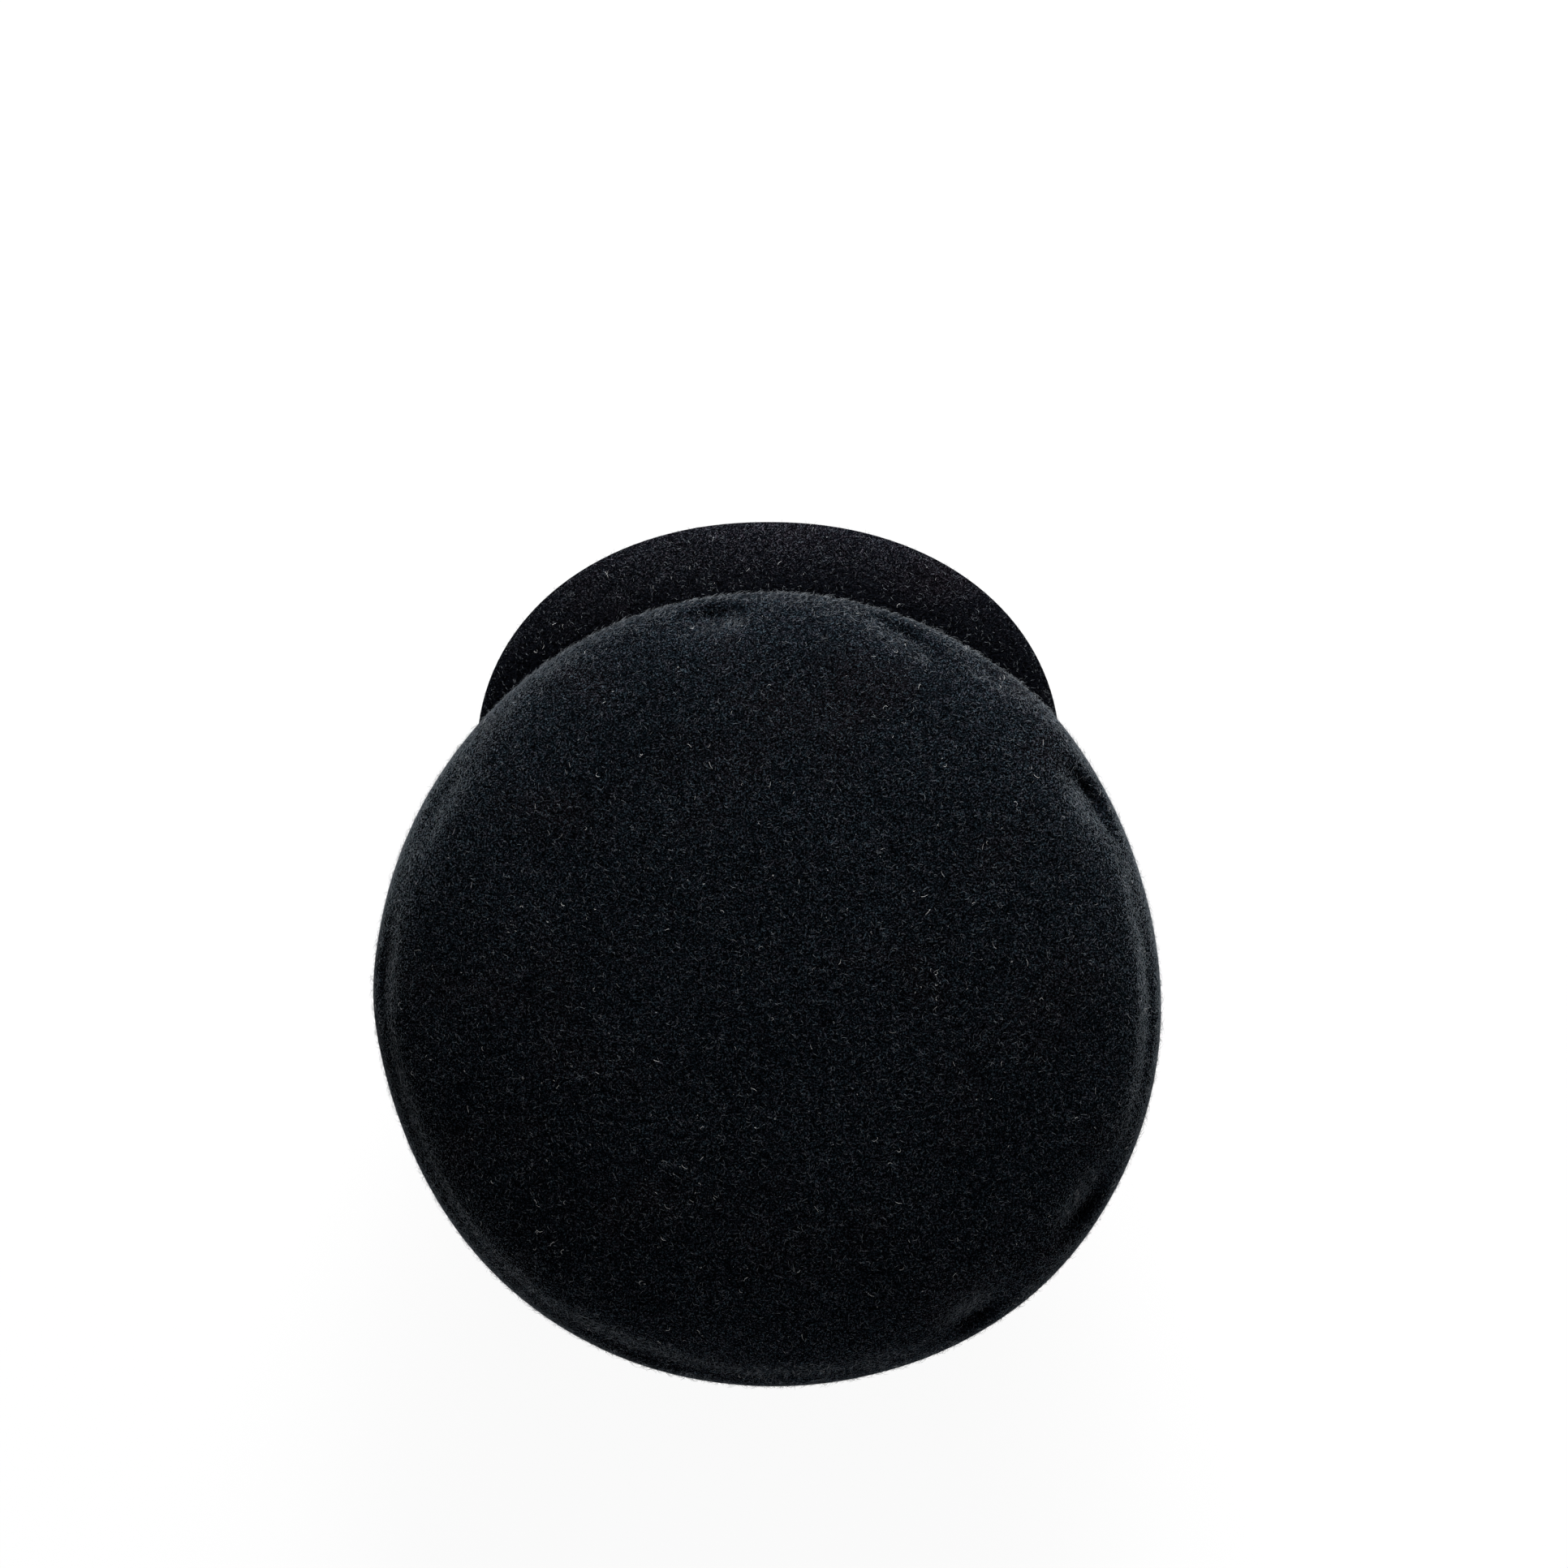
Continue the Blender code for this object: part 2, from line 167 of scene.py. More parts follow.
# The band's back seam: a groove between two low ridges.
SEAM_DEPTH = 0.9 * MM
SEAM_HALF_WIDTH = 1.1 * MM
SEAM_RIDGE = 0.25 * MM
SEAM_RIDGE_AT = 3.4 * MM
SEAM_RIDGE_HALF_WIDTH = 2.2 * MM

# The lining: the side's section, in millimetres outwards and up, and the tip's rows, as shares of its rim.
LINING_PROFILE = ((1.7, 21), (1.7, 30), (1.7, 39), (9.5, 44.8), (15, 54), (12.3, 63.7))
LINING_STEPS = 192
LINING_THICKNESS = 0.0006
LINING_FREE_FROM = 0.038
LINING_FREE_FADE = 0.010
LINING_SEWN_AT = 0.0635
LINING_SEWN_FADE = 0.004
FOLD_STRETCH = 0.35
TIP_SHARES = (1, 0.99, 0.97, 0.94, 0.88, 0.8, 0.65, 0.5, 0.3, 0.1)
TIP_STEPS = 128
TIP_OUTWARDS = 0.012
TIP_HEIGHT = 0.0649
TIP_RISE = 0.0085
TIP_SEWN_SHARE = 0.97
TIP_SAG_SPAN = 0.2

# The tab over the sweatband's join.
TAB_WIDTH = 0.016
TAB_HEIGHT = 0.0230
TAB_FOOT = 0.0045
TAB_INSET = 0.0007
TAB_THICKNESS = 0.0008

# Steps round the strips, the grids of the visor and the tab, and the rounding of the covers' edges.
STRIP_STEPS = 128
VISOR_GRID = (96, 24)
TAB_GRID = (16, 24)
COVER_ROUNDING = 0.0007

# Rows of stitches: how far outside the head opening and how high they run, and their pitch. SMALL_TURN,
# in radians, is the step that finds their direction.
STITCH_LENGTH = 0.0026
STITCH_RADIUS = 0.00022
SMALL_TURN = 0.01
SWEATBAND_STITCHES = (-0.00008, 0.0048, 0.0052)
LINING_STITCHES = (0.0118, 0.0641, 0.0040)

# Raised hairs: radii at the root, middle and tip, how deep the root sits, how steeply a hair rises, how far
# its outer half bends to either side, and the share of the rise that the outer half keeps. LOWEST_HAIR keeps
# them off the floor.
HAIR_RADII = (0.000036, 0.000029, 0.000010)
HAIR_SINK = 0.00012
HAIR_RISE = (0.15, 0.75)
HAIR_BEND = 0.5
HAIR_RISE_KEPT = 0.3
LOWEST_HAIR = 0.0002

# Shortest and longest hair on each surface, how far below the rim its hairs go, and how many there are.
FELT_HAIR_LENGTHS = (0.0007, 0.0020)
RIM_HAIR_LENGTHS = (0.0010, 0.0032)
RIM_HAIR_DEPTH = 0.012
TOP_HAIR_LENGTHS = (0.0006, 0.0018)
VISOR_HAIR_LENGTHS = (0.0006, 0.0017)
CROWN_HAIRS = 14000
RIM_HAIRS = 13500
TOP_HAIRS = 9500
BAND_HAIRS = 4000
VISOR_HAIRS = 5000
VISOR_UNDER_HAIRS = 3000

# Dust and curly hairs that lie on the felt.
CROWN_DUST = 420
VISOR_DUST = 110
LINT_POINTS = 9
LINT_RADII = (0.00002, *[0.000035] * (LINT_POINTS - 2), 0.00002)
LINT_SHORTEST = 0.0003
LINT_SPREAD = 0.0026
LINT_HEIGHT = 0.00015
LINT_ARCH = 0.00012
LINT_CURL = 2.2
LINT_WAVE = 1.2
LINT_SWAY = 3
LINT_SWAY_TURN = 5

# Seeds of the random draws.
CROWN_SEED = 41
BAND_SEED = 43
VISOR_SEED = 47


# Hand tools
def drop_selection():
    if bpy.context.object and bpy.context.object.mode != "OBJECT":
        bpy.ops.object.mode_set(mode="OBJECT")
    bpy.ops.object.select_all(action="DESELECT")


def work_on(piece):
    """Makes a piece the only selected one."""
    drop_selection()
    piece.select_set(True)
    bpy.context.view_layer.objects.active = piece


def apply_modifier(piece, kind, **settings):
    work_on(piece)
    tool = piece.modifiers.new(kind.lower(), kind)
    for name, value in settings.items():
        setattr(tool, name, value)
    bpy.ops.object.modifier_apply(modifier=tool.name)


def subdivide(piece, levels):
    apply_modifier(piece, "SUBSURF", levels=levels, render_levels=levels)


def thicken(piece, thickness, offset):
    apply_modifier(piece, "SOLIDIFY", thickness=thickness, offset=offset, use_even_offset=True)


def turn_faces_out(piece):
    work_on(piece)
    bpy.ops.object.mode_set(mode="EDIT")
    bpy.ops.mesh.select_all(action="SELECT")
    bpy.ops.mesh.normals_make_consistent(inside=False)
    bpy.ops.object.mode_set(mode="OBJECT")


def shade_soft(piece, angle=50):
    work_on(piece)
    bpy.ops.object.shade_smooth_by_angle(angle=radians(angle))


def points_of(piece):
    flat = np.empty(len(piece.data.vertices) * 3)
    piece.data.vertices.foreach_get("co", flat)
    return flat.reshape(-1, 3)


def put_points(piece, points):
    piece.data.vertices.foreach_set("co", np.ascontiguousarray(points).reshape(-1))
    piece.data.update()


def faces_in_order(piece, rank):
    """A piece's faces by the rank of their corners, each from its lowest corner, lowest face first."""
    faces = []
    for face in piece.data.polygons:
        corners = [int(rank[corner]) for corner in face.vertices]
        first = corners.index(min(corners))
        faces.append(tuple(corners[first:] + corners[:first]))
    return sorted(faces)


def settle_rings(piece, rows, steps, capped):
    """Numbers the points row by row and puts them exactly on their ovals.

    Extruding numbers them differently in each run, and the hairs are drawn by number.
    """
    points = points_of(piece)
    widths, lengths, heights = np.array(rows).T
    reach = np.hypot(points[:, :1] / widths, points[:, 1:2] / lengths)
    row = np.argmin(np.abs(reach - 1) * widths + np.abs(points[:, 2:] - heights), axis=1)
    turn = np.arctan2(points[:, 1] / lengths[row], points[:, 0] / widths[row])
    step = np.round(turn * steps / (2 * pi)).astype(int) % steps
    is_middle = capped & (row == len(rows) - 1)
    step[is_middle] = 0
    angle = step * (2 * pi / steps)
    settled = np.stack((widths[row] * np.cos(angle), lengths[row] * np.sin(angle), heights[row]), axis=1)
    settled[is_middle, :2] = 0.0
    order = np.lexsort((step, row))
    faces = faces_in_order(piece, np.argsort(order))
    piece.data.clear_geometry()
    piece.data.from_pydata(settled[order].tolist(), [], faces)
    piece.data.update()


def extrude_rings(name, rows, steps, closed=False, capped=False):
    """Draws the first oval, then extrudes it from row to row. A row is half-width, half-length, height.

    closed bridges the last oval back to the first, and capped draws the last one together.
    """
    drop_selection()
    bpy.ops.mesh.primitive_circle_add(vertices=steps, radius=1.0, fill_type="NOTHING")
    piece = bpy.context.object
    piece.name = piece.data.name = name
    bpy.ops.object.mode_set(mode="EDIT")
    bpy.ops.mesh.select_all(action="SELECT")
    width, length, height = rows[0]
    bpy.ops.transform.resize(value=(width, length, 1.0))
    bpy.ops.transform.translate(value=(0.0, 0.0, height))
    for next_width, next_length, next_height in rows[1:]:
        step = (0.0, 0.0, next_height - height)
        bpy.ops.mesh.extrude_region_move(TRANSFORM_OT_translate={"value": step})
        bpy.ops.transform.resize(value=(next_width / width, next_length / length, 1.0))
        width, length, height = next_width, next_length, next_height
    if capped:
        bpy.ops.mesh.merge(type="CENTER")
    if closed:
        bpy.ops.mesh.select_all(action="DESELECT")
        drawn = bmesh.from_edit_mesh(piece.data)
        for edge in drawn.edges:
            if edge.is_boundary:
                edge.select_set(True)
        bmesh.update_edit_mesh(piece.data)
        bpy.ops.mesh.bridge_edge_loops()
    turn_faces_out(piece)
    settle_rings(piece, rows, steps, capped)
    return piece


def spread_grid(name, steps, rows, place):
    """Adds a grid and takes its points to place(across, along): -1 to 1 across and 0 to 1 along."""
    drop_selection()
    bpy.ops.mesh.primitive_grid_add(x_subdivisions=steps, y_subdivisions=rows, size=2)
    piece = bpy.context.object
    piece.name = piece.data.name = name
    points = points_of(piece)
    put_points(piece, place(points[:, 0], (points[:, 1] + 1) / 2))
    return piece


def copies_of(name, model, places):
    """One piece with a copy of a small model at each place, which is (origin, along, up)."""
    points = points_of(model)
    faces = faces_in_order(model, range(len(points)))
    all_points = []
    all_faces = []
    for origin, along, up in places:
        forward = Vector(along).normalized()
        side = Vector(up).cross(forward).normalized()
        upright = forward.cross(side)
        axes = np.array((forward, side, upright))
        first = len(all_points) * len(points)
        all_points.append(points @ axes + np.array(origin))
        all_faces += [tuple(first + corner for corner in face) for face in faces]
    bpy.data.objects.remove(model)
    mesh = bpy.data.meshes.new(name)
    mesh.from_pydata(np.concatenate(all_points).tolist(), [], all_faces)
    piece = bpy.data.objects.new(name, mesh)
    bpy.context.scene.collection.objects.link(piece)
    return piece


def surface_points(piece, count, chance, wanted):
    """Random points on a piece's faces, with the normals there. wanted says which face centres count."""
    piece.data.calc_loop_triangles()
    corners = np.empty(len(piece.data.loop_triangles) * 3, np.int64)
    piece.data.loop_triangles.foreach_get("vertices", corners)
    places = points_of(piece)[corners.reshape(-1, 3)]
    across = np.cross(places[:, 1] - places[:, 0], places[:, 2] - places[:, 0])
    size = np.linalg.norm(across, axis=1)
    share = size * wanted(places.mean(axis=1), across / size[:, None])
    chosen = chance.choice(len(places), count, p=share / share.sum())
    first, second = chance.random((2, count))
    outside = first + second > 1
    first = np.where(outside, 1 - first, first)
    second = np.where(outside, 1 - second, second)
    corner = places[chosen]
    points = corner[:, 0] + first[:, None] * (corner[:, 1] - corner[:, 0])
    points += second[:, None] * (corner[:, 2] - corner[:, 0])
    return points, across[chosen] / size[chosen][:, None]


def tangents_of(normals, chance):
    """A random direction along the surface at each normal, and the one square to it."""
    wild = chance.normal(size=normals.shape)
    along = wild - (wild * normals).sum(axis=1)[:, None] * normals
    along /= np.linalg.norm(along, axis=1)[:, None]
    return along, np.cross(normals, along)


def thread_piece(name, paths, radii):
    """Closed three-sided threads along paths, an array of thread, point, xyz. radii has one per point."""
    count, length, _ = paths.shape
    forward = np.gradient(paths, axis=1)
    forward /= np.linalg.norm(forward, axis=2)[:, :, None]
    helper = np.where(np.abs(forward[:, :, 2:]) > 0.8, (1.0, 0.0, 0.0), (0.0, 0.0, 1.0))
    side = np.cross(helper, forward)
    side /= np.linalg.norm(side, axis=2)[:, :, None]
    up = np.cross(forward, side)
    rings = []
    for turn in (0.0, 2 * pi / 3, 4 * pi / 3):
        rings.append(paths + (side * cos(turn) + up * sin(turn)) * np.array(radii)[None, :, None])
    points = np.stack(rings, axis=2).reshape(-1, 3)
    faces = [(0, 2, 1), (3 * length - 3, 3 * length - 2, 3 * length - 1)]
    for ring in range(0, 3 * length - 3, 3):
        for corner in range(3):
            after = (corner + 1) % 3
            faces.append((ring + corner, ring + after, ring + after + 3, ring + corner + 3))
    all_faces = []
    for thread in range(count):
        first = thread * 3 * length
        all_faces += [tuple(first + corner for corner in face) for face in faces]
    mesh = bpy.data.meshes.new(name)
    mesh.from_pydata(points.tolist(), [], all_faces)
    piece = bpy.data.objects.new(name, mesh)
    bpy.context.scene.collection.objects.link(piece)
    shade_soft(piece, 80)
    return piece


def nap_paths(points, normals, chance, lengths):
    """Short hairs that rise from the surface and bend over."""
    along, across = tangents_of(normals, chance)
    length = chance.uniform(*lengths, len(points))[:, None]
    rise = chance.uniform(*HAIR_RISE, len(points))[:, None]
    bend = chance.uniform(-HAIR_BEND, HAIR_BEND, len(points))[:, None]
    root = points - normals * HAIR_SINK
    middle = root + (along + normals * rise) * length * 0.5
    tip = middle + (along + across * bend + normals * rise * HAIR_RISE_KEPT) * length * 0.5
    return np.stack((root, middle, tip), axis=1)


def lint_paths(points, normals, chance):
    """Long curly hairs that lie on the surface."""
    along, across = tangents_of(normals, chance)
    length = LINT_SHORTEST + LINT_SPREAD * chance.random(len(points)) ** 2
    curl = chance.normal(0.0, LINT_CURL, len(points))
    wave = chance.uniform(-LINT_WAVE, LINT_WAVE, len(points))
    paths = [points + normals * LINT_HEIGHT]
    heading = np.zeros(len(points))
    for step in range(1, LINT_POINTS):
        share = step / (LINT_POINTS - 1)
        heading = heading + (curl + wave * LINT_SWAY * cos(share * LINT_SWAY_TURN)) / LINT_POINTS
        move = along * np.cos(heading)[:, None] + across * np.sin(heading)[:, None]
        lift = normals * (LINT_ARCH * sin(share * pi))
        paths.append(paths[-1] + move * (length / LINT_POINTS)[:, None] + lift * (0.5 - share))
    return np.stack(paths, axis=1)


def dress(piece, look, body, stands_for=None):
    """Gives a piece its material, the body it rides on and the node it stands for.

    A piece without a body rides on none, with its place baked into its mesh.
    """
    piece.data.materials.clear()
    piece.data.materials.append(look)
    if body:
        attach(piece, body)
    else:
        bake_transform(piece)
    if stands_for:
        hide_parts(stands_for)
    return piece


# Shapes of the head, crown and visor
def smooth_step(value):
    value = np.clip(value, 0.0, 1.0)
    return value * value * (3 - 2 * value)


def head_row(outwards, height):
    """An oval at a distance outside the head opening."""
    return OPENING_HALF_WIDTH + outwards, OPENING_HALF_LENGTH + outwards, height


def angle_of(points):
    return np.arctan2(-points[:, 0] / OPENING_HALF_WIDTH, -points[:, 1] / OPENING_HALF_LENGTH)


def brow_rise(height, angle):
    share = np.clip(np.abs(angle) / BROW_HALF_ANGLE, 0.0, 1.0)
    fade = np.clip(1 - height / BROW_FADE_HEIGHT, 0.0, None)
    return BROW_RISE * (1 - share ** 2) ** 2 * fade


def raise_brow(piece):
    points = points_of(piece)
    points[:, 2] += brow_rise(points[:, 2], angle_of(points))
    put_points(piece, points)


def unevenness(points, bumps):
    """Smooth random heights at the points, summed over bumps of each size and height."""
    total = 0.0
    for size, height in bumps:
        total = total + height * np.array([noise.noise(Vector(point) / size) for point in points])
    return total


def crown_top_height(share):
    rise = np.clip(1 - np.clip(share, 0, 1) ** SHOULDER_POWER, 0, 1) ** (1 / SHOULDER_POWER)
    return RIM_HEIGHT + (CROWN_HEIGHT - RIM_HEIGHT) * rise


def crown_rows():
    foot_width, foot_length, foot_height = head_row(CROWN_FOOT, BAND_HEIGHT + SEAM_GAP)
    rows = []
    for i in range(UNDERSIDE_ROWS):
        share = i / UNDERSIDE_ROWS
        spread = sin(share * pi / 2)
        rise = UNDERSIDE_SLOPE * share + (1 - UNDERSIDE_SLOPE) * (1 - cos(share * pi / 2))
        rows.append((
            foot_width + (RIM_HALF_WIDTH - foot_width) * spread,
            foot_length + (RIM_HALF_LENGTH - foot_length) * spread,
            foot_height + (RIM_HEIGHT - foot_height) * rise,
        ))
    for inset in TOP_ROW_INSETS:
        share = 1 - inset * MM / RIM_HALF_WIDTH
        rows.append((RIM_HALF_WIDTH * share, RIM_HALF_LENGTH * share, float(crown_top_height(share))))
    return rows


def turn_between(angle, degrees):
    return (angle - radians(degrees) + pi) % (2 * pi) - pi


def sculpt_crown(crown):
    """Swells the rim, pushes the dents into the shoulder and leaves the felt slightly uneven."""
    points = points_of(crown)
    angle = np.arctan2(-points[:, 0] / RIM_HALF_WIDTH, -points[:, 1] / RIM_HALF_LENGTH)
    share = np.hypot(points[:, 0] / RIM_HALF_WIDTH, points[:, 1] / RIM_HALF_LENGTH)
    inset = (1 - share) * RIM_HALF_WIDTH / MM
    is_top = points[:, 2] >= RIM_HEIGHT - TOP_MARGIN
    height = points[:, 2].copy()
    for degrees, in_from_rim, depth, half_length, half_width, turned in DENTS + FINE_FORMS:
        along = turn_between(angle, degrees) * RIM_HALF_WIDTH / MM
        across = inset - in_from_rim
        lengthways = along * cos(radians(turned)) + across * sin(radians(turned))
        widthways = across * cos(radians(turned)) - along * sin(radians(turned))
        pushed = np.exp(-(lengthways / half_length) ** 2 - (widthways / half_width) ** 2)
        height -= np.where(is_top, depth * MM * pushed, 0.0)
    swell = np.zeros(len(points))
    for degrees, out, half_turn in RIM_SWELLS:
        turn = turn_between(angle, degrees) / radians(half_turn)
        swell += out * MM * np.exp(-turn ** 2)
    spread = 1 + swell / RIM_HALF_WIDTH * smooth_step((share - SWELL_START) / SWELL_SPAN)
    uneven = unevenness(points, CROWN_BUMPS)
    points[:, 0] *= spread
    points[:, 1] *= spread
    points[:, 2] = height + uneven * smooth_step((share - SWELL_START) / UNEVEN_SPAN + is_top)
    put_points(crown, points)


def visor_outline(across):
    """The visor's outer edge in plan, as side and forward distances."""
    share = np.abs(across)
    front = np.clip(1 - share / (1 - WING_SHARE), 0, 1) * pi / 2
    front_side = VISOR_HALF_WIDTH * np.clip(np.cos(front), 0, 1) ** (2 / VISOR_POWER)
    front_reach = VISOR_WIDEST_AT + VISOR_REACH * np.sin(front) ** (2 / VISOR_POWER)
    wing = np.clip((share - 1 + WING_SHARE) / WING_SHARE, 0, 1) * WING_END
    wing_side = VISOR_HALF_WIDTH - WING_CURL * (1 - np.cos(wing))
    wing_reach = VISOR_WIDEST_AT - WING_LENGTH * np.sin(wing)
    in_front = share <= 1 - WING_SHARE
    side = np.where(in_front, front_side, wing_side) * np.sign(across)
    return side, np.where(in_front, front_reach, wing_reach)


def visor_middle(across, along, root_gap):
    """Points of the visor's middle surface, which starts at a gap from the band."""
    angle = across * VISOR_ROOT_HALF_ANGLE
    root_width, root_length, _ = head_row(BAND_OUTER + root_gap, 0.0)
    root = np.stack((
        -root_width * np.sin(angle),
        -root_length * np.cos(angle),
        VISOR_ROOT_LIFT + brow_rise(0.0, angle),
    ), axis=1)
    side, forward = visor_outline(across)
    fullness = 1 - across ** 2
    lip_height = VISOR_WING_HEIGHT + (VISOR_TIP_HEIGHT - VISOR_WING_HEIGHT) * fullness
    lip = np.stack((-side, -forward, lip_height), axis=1)
    points = root + (lip - root) * along[:, None]
    points[:, 2] += VISOR_CAMBER * 4 * along * (1 - along) * fullness
    return points


# Shader tools. A Mix node's sockets go by number, because its three kinds share their names.
MIX_FACTOR = 0
MIX_FIRST_COLOUR = 6
MIX_SECOND_COLOUR = 7
MIX_COLOUR = 2


class Value:
    """A number on a shader socket. Sums with it add Math nodes."""

    def __init__(self, look, socket):
        self.look = look
        self.socket = socket

    def math(self, operation, other=0.0, swapped=False):
        pair = (other, self) if swapped else (self, other)
        return self.look.node("Math", {"operation": operation}, {0: pair[0], 1: pair[1]})

    def __add__(self, other):
        return self.math("ADD", other)

    def __mul__(self, other):
        return self.math("MULTIPLY", other)

    def __truediv__(self, other):
        return self.math("DIVIDE", other)

    def __rsub__(self, other):
        return self.math("SUBTRACT", other, swapped=True)

    __radd__ = __add__
    __rmul__ = __mul__


class Tree:
    """A node tree under construction."""

    def __init__(self, tree):
        self.tree = tree

    def node(self, kind, settings, inputs, output=0):
        """Adds a node, then gives one of its outputs."""
        made = self.tree.nodes.new("ShaderNode" + kind)
        for name, value in settings.items():
            setattr(made, name, value)
        for name, value in inputs.items():
            self.feed(made.inputs[name], value)
        return Value(self, made.outputs[output])

    def feed(self, socket, value):
        if isinstance(value, Value):
            self.tree.links.new(value.socket, socket)
        elif isinstance(value, tuple) and socket.type == "RGBA":
            socket.default_value = (*value, 1.0)
        else:
            socket.default_value = value

    def blend(self, factor, first, second):
        """Mixes two colours."""
        inputs = {MIX_FACTOR: factor, MIX_FIRST_COLOUR: first, MIX_SECOND_COLOUR: second}
        return self.node("Mix", {"data_type": "RGBA"}, inputs, MIX_COLOUR)

    def seen_by_rays(self):
        """1 where the camera, a reflection or a clear piece looks, and 0 for the light on the object."""
        camera = self.node("LightPath", {}, {}, "Is Camera Ray")
        glossy = self.node("LightPath", {}, {}, "Is Glossy Ray")
        clear = self.node("LightPath", {}, {}, "Is Transmission Ray")
        return camera.math("MAXIMUM", glossy).math("MAXIMUM", clear)


class Look(Tree):
    """A material under construction."""

    def __init__(self, name):
        self.material = bpy.data.materials.new(name)
        self.material.use_nodes = True
        super().__init__(self.material.node_tree)
        self.shader = self.tree.nodes["Principled BSDF"]
        self.place = self.node("TexCoord", {}, {}, "Object")

    def noise(self, size, detail=2.0, roughness=0.5, warp=0.0, place=None):
        """Cloudy noise from 0 to 1, with clouds of about that size in metres."""
        inputs = {"Vector": place or self.place, "Scale": 1 / size, "Detail": detail,
                  "Roughness": roughness, "Distortion": warp}
        return self.node("TexNoise", {"noise_dimensions": "3D"}, inputs)

    def part(self, axis):
        """How far along X, Y or Z the surface is."""
        return self.node("SeparateXYZ", {}, {"Vector": self.place}, axis)

    def round_head(self):
        """The distance round the head, in metres, from the back."""
        turn = (self.part("X") / OPENING_HALF_WIDTH).math("ARCTAN2", self.part("Y") / OPENING_HALF_LENGTH)
        return turn * ((OPENING_HALF_WIDTH + OPENING_HALF_LENGTH) / 2)

    def plan_distance(self):
        """The distance from the middle of the head, seen from above."""
        across, along = self.part("X"), self.part("Y")
        return (across * across + along * along).math("SQRT")

    def wave(self, distance, pitch):
        """Waves from 0 to 1 along a distance."""
        return (distance * (2 * pi / pitch)).math("SINE") * 0.5 + 0.5

    def ramp(self, value, low, high):
        """0 up to low, 1 from high, smooth between."""
        settings = {"interpolation_type": "SMOOTHSTEP"}
        return self.node("MapRange", settings, {"Value": value, "From Min": low, "From Max": high})

    def shifted(self, move):
        """Another place in the noise."""
        return self.node("Mapping", {}, {"Vector": self.place, "Location": move})

    def bump(self, height, distance, strength):
        inputs = {"Height": height, "Distance": distance, "Strength": strength}
        return self.node("Bump", {}, inputs, "Normal")

    def finish(self, **sockets):
        """Feeds the shader's sockets, named with underscores for spaces."""
        for name, value in sockets.items():
            self.feed(self.shader.inputs[name.replace("_", " ")], value)
        return self.material


def felt_look(name, gap, wool, warm_wool, hair, warm_hair, sheen, painted_crown_shade=False):
    """Fulled wool: sparse light hair ends on dark wool with darker gaps.

    The ends and the gaps are finer than a millimetre, they gather in clumps, and their number and their
    warmth drift over the cap. The last argument paints shade on the visor: fewer light hair ends next to the
    crown and towards its sides, so that it is lightest at the middle of its front edge.
    """
    look = Look(name)
    ends = look.ramp(look.noise(0.00055, detail=1.0), 0.53, 0.70)
    other_place = look.shifted((0.31, 0.17, 0.53))
    other_ends = look.ramp(look.noise(0.00042, detail=1.0, place=other_place), 0.55, 0.70)
    gaps = look.ramp(look.noise(0.0009, roughness=0.6, warp=0.4), 0.36, 0.60)
    clumps = look.noise(0.0034)
    drift = look.noise(0.045)
    warmth = look.ramp(look.noise(0.030, detail=3.0, place=other_place), 0.50, 0.72)
    light_ends = (ends + other_ends) * (clumps * 1.6) * (drift + 0.5) * (gaps * 0.8 + 0.3)
    wool_colour = look.blend(gaps, gap, look.blend(warmth, wool, warm_wool))
    tint = look.ramp(look.noise(0.0014, detail=1.0, place=other_place), 0.38, 0.62)
    share = light_ends * 0.75
    # Painted shade: the visor's light hair ends thin out next to the crown, as if in the crown's shadow, and
    # towards its sides.
    if painted_crown_shade:
        sideways = look.part("X") / VISOR_HALF_WIDTH
        from_crown = look.plan_distance() / RIM_HALF_LENGTH
        crown_shade_factor = 0.05 + 1.05 * look.ramp(from_crown, 0.99, 1.16)
        share = share * crown_shade_factor * (1 - 0.8 * sideways * sideways)
    pile = ends * 0.5 + other_ends * 0.4 + gaps * 0.5 + clumps * 0.7
    return look.finish(
        Base_Color=look.blend(share, wool_colour, look.blend(tint, hair, warm_hair)),
        Roughness=0.95,
        Specular_IOR_Level=0.0,
        Sheen_Weight=sheen,
        Sheen_Roughness=0.16,
        Sheen_Tint=(0.78, 0.90, 1.0),
        Normal=look.bump(pile, distance=0.00042, strength=0.8),
    )


def fibre_look(name, dark, light):
    """Loose hairs, some darker than others."""
    look = Look(name)
    return look.finish(
        Base_Color=look.blend(look.noise(0.0015, detail=0.0), dark, light),
        Roughness=0.8,
        Specular_IOR_Level=0.15,
        Sheen_Weight=0.1,
    )


def ribbon_look(name, dark, light, pitch):
    """Ribbed ribbon: close upright ribs with fine threads across them."""
    look = Look(name)
    ribs = look.wave(look.round_head(), pitch)
    threads = look.wave(look.part("Z"), pitch / 3)
    worn = look.noise(0.012, detail=3.0)
    cloth = ribs * 0.75 + threads * ribs * 0.25
    return look.finish(
        Base_Color=look.blend(cloth * (worn * 0.8 + 0.6), dark, light),
        Roughness=0.72 - cloth * 0.18,
        Specular_IOR_Level=0.3,
        Sheen_Weight=0.06,
        Normal=look.bump(cloth, distance=0.00028, strength=0.9),
    )


TWILL_SLANT = 0.6
TWILL_PITCH = 0.0007


def satin_look(name, dark, light, lies_flat):
    """Satin: smooth floats with a fine slanting twill and soft creases."""
    look = Look(name)
    if lies_flat:
        slant = look.part("X") + look.part("Y") * TWILL_SLANT
    else:
        slant = look.round_head() + look.part("Z") * TWILL_SLANT
    twill = look.wave(slant, TWILL_PITCH)
    creases = look.noise(0.016, detail=3.0, roughness=0.55, warp=0.5)
    return look.finish(
        Base_Color=look.blend(twill * 0.6 + creases * 0.4, dark, light),
        Roughness=0.30 + creases * 0.16,
        Specular_IOR_Level=0.5,
        Sheen_Weight=0.08,
        Normal=look.bump(twill * 0.05 + creases * 0.5, distance=0.0007, strength=0.6),
    )


